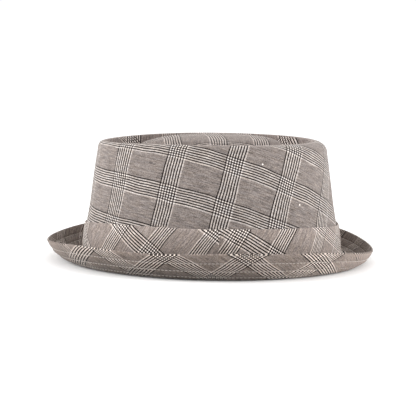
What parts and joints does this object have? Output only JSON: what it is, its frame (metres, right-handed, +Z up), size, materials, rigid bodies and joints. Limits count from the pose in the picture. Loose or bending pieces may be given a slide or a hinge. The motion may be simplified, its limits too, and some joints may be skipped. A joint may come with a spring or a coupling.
{
  "type": "porkpie hat",
  "caption": "Porkpie hat of grey checked wool cloth, with a telescope crown and teardrop dome, a bias band of the same cloth and a narrow brim turned up all the way round.",
  "frame": {"origin": "middle of the hat's outline seen from above, on the plane that the brim rests on", "axes": "+Z up, front of the hat towards -Y, the wearer's left towards +X"},
  "size_m": [0.2294, 0.2621, 0.1004],
  "materials": {
    "crown_cloth": "light wool suiting in a grey glen check of seven dark and seven light threads, matt",
    "tip_cloth": "the same grey glen check, matt",
    "brim_cloth": "the same grey glen check in two plies, topstitched in rows, matt",
    "band_cloth": "the same grey glen check cut on the bias, matt",
    "sweatband_cloth": "plain charcoal twill band with a soft sheen"
  },
  "bodies": {
    "root": {"crown_wall": "crown_cloth", "crown_tip": "tip_cloth", "brim": "brim_cloth", "hat_band": "band_cloth", "sweatband": "sweatband_cloth"}
  },
  "joints": []
}
